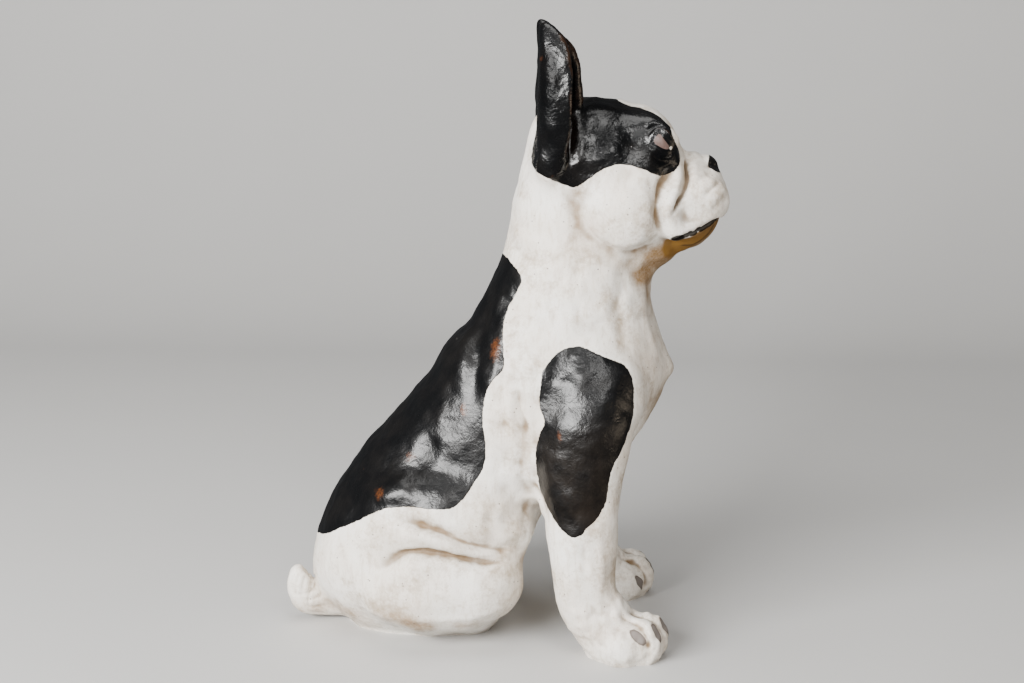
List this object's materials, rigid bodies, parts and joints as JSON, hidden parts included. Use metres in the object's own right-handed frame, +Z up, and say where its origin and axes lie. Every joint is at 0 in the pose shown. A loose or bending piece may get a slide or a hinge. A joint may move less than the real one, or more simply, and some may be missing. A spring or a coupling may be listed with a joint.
{
  "type": "bulldog garden statue",
  "caption": "Seated bulldog garden statue with upright ears and a curled tail, cast in one piece, painted off-white with glossy black patches.",
  "frame": {"origin": "centre of the footprint's bounding box, on the ground plane under the seat and forepaws", "axes": "+X the way the dog's body faces, +Y its left side, +Z up"},
  "size_m": [0.3058, 0.1736, 0.4204],
  "materials": {
    "paint": "warm off-white satin paint with large glossy black patches over a cast resin body"
  },
  "bodies": {
    "root": {"bulldog": "paint"}
  },
  "joints": []
}
